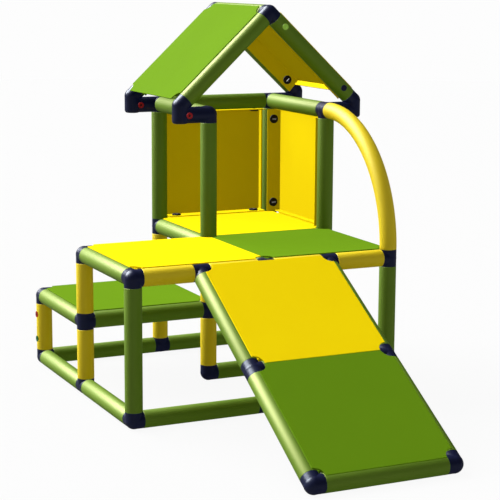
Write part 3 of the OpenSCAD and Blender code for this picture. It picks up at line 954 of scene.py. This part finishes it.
def arrow_guide(name, spots):
    guide = bpy.data.meshes.new(name)
    guide.from_pydata([spot for spot, _, _ in spots], [], [])
    for label, column in (("aim", 1), ("side", 2)):
        layer = guide.attributes.new(label, "FLOAT_VECTOR", "POINT")
        for item, spot in zip(layer.data, spots):
            item.vector = spot[column]
    return guide


for name, members in screw_groups.items():
    spots = [spot for panel in members for spot in screw_spots(panel)]
    shape = grown(name + "_moulded", SCREWS, arrow_guide(name, spots), black_screw,
                  Slot_finish=painted_slot_highlight)
    add_piece(name + "_moulded", shape, body_of_node(name), "black_screw", name)
    print(f"{name}: {len(spots)} screws, {len(shape.polygons)} faces")

# %% [markdown]
# ## Floor and light
#
# The photo stands the toy on plain white with hardly a shadow. A large pale floor gives that.
# It shows the camera a mix of its lit self and plain white, so that the background stays white
# while a soft shadow remains under the toy. Mirrored rays get only a trace of that white, because
# the photo's plastics mirror hardly any of the floor.
#
# The light in the photo comes from the upper left and behind, so the tops are bright and the
# sides that look at us are dark, and yet no piece throws a hard shadow on another. Its direction
# was fitted to how bright each face is. One lamp with shadows would dim the house's inside. So
# the same direction gets two lamps: a strong key without shadows for the shading and the long
# highlights on the tubes, and a soft weak one with shadows that sits the pieces on each other.
# Three faint fills without reflections lift the front, the right side and the undersides. A pale
# sky all round does the rest. Each lamp lights only what it meets first, so no yellow panel
# stains a green tube.

# %% Lay the floor
FLOOR_R = 14
FLOOR_SIDES = 96
FLOOR_DROP = 0.0005
WHITE_GLOW = 1.03
WHITE_SHARE = 0.75
MIRRORED_SHARE = 0.04


def floor_material():
    sheet = Sheet("pale floor")
    tree = sheet.tree
    rays = tree.nodes.new("ShaderNodeLightPath")
    looked, shone, passed = (Value(sheet, rays.outputs[f"Is {kind} Ray"])
                             for kind in ("Camera", "Glossy", "Transmission"))
    white = looked + (shone + passed) * MIRRORED_SHARE
    sheet.set(Base_Color=(0.5, 0.5, 0.5, 1), Roughness=0.9, Specular_IOR_Level=0.1)
    glow = sheet.node("ShaderNodeEmission", {}, {"Color": WHITE, "Strength": WHITE_GLOW})
    mix = tree.nodes.new("ShaderNodeMixShader")
    sheet.feed(mix.inputs[0], white * WHITE_SHARE)
    tree.links.new(sheet.shader.outputs[0], mix.inputs[1])
    tree.links.new(glow.socket, mix.inputs[2])
    tree.links.new(mix.outputs[0], tree.nodes["Material Output"].inputs["Surface"])
    return sheet.material


def lay_floor():
    mesh = bmesh.new()
    bmesh.ops.create_circle(mesh, cap_ends=True, radius=FLOOR_R, segments=FLOOR_SIDES)
    shape = bpy.data.meshes.new("floor")
    mesh.to_mesh(shape)
    mesh.free()
    shape.materials.append(floor_material())
    floor = bpy.data.objects.new("floor", shape)
    bpy.context.scene.collection.objects.link(floor)
    floor.location.z = -FLOOR_DROP


lay_floor()
print("floor laid")

# %% Hang the lights


def studio_world(lit, mirrored, seen):
    world = bpy.data.worlds.new("studio")
    bpy.context.scene.world = world
    world.use_nodes = True
    tree = world.node_tree
    rays = tree.nodes.new("ShaderNodeLightPath")
    shown = tree.nodes["Background"]
    shown.inputs["Color"].default_value = WHITE
    shown.inputs["Strength"].default_value = lit
    for kind, strength in (("Is Glossy Ray", mirrored), ("Is Camera Ray", seen)):
        other = tree.nodes.new("ShaderNodeBackground")
        other.inputs["Color"].default_value = WHITE
        other.inputs["Strength"].default_value = strength
        choice = tree.nodes.new("ShaderNodeMixShader")
        tree.links.new(rays.outputs[kind], choice.inputs[0])
        tree.links.new(shown.outputs[0], choice.inputs[1])
        tree.links.new(other.outputs[0], choice.inputs[2])
        shown = choice
    tree.links.new(shown.outputs[0], tree.nodes["World Output"].inputs["Surface"])


def lamp(name, towards, strength, width, shadow=False, shine=True):
    data = bpy.data.lights.new(name, "SUN")
    data.energy, data.angle = strength, math.radians(width)
    data.use_shadow = shadow
    data.cycles.max_bounces = 0
    holder = bpy.data.objects.new(name, data)
    holder.visible_glossy = shine
    holder.rotation_mode = "QUATERNION"
    holder.rotation_quaternion = Vector(towards).to_track_quat("-Z", "Y")
    bpy.context.scene.collection.objects.link(holder)


studio_world(lit=0.13, mirrored=0.03, seen=0.982)
KEY_WAY = (0.464, -0.588, -0.663)
lamp("key lamp", KEY_WAY, strength=6.0, width=44)
lamp("soft lamp", KEY_WAY, strength=1.1, width=50, shadow=True)
lamp("front fill", (0.0, 1.0, 0.0), strength=0.6, width=60, shine=False)
lamp("right fill", (-1.0, 0.0, 0.0), strength=0.53, width=60, shine=False)
lamp("fill from below", (0.0, 0.0, 1.0), strength=0.65, width=60, shine=False)
bpy.context.scene.view_settings.view_transform = "Standard"
print("lights hung")
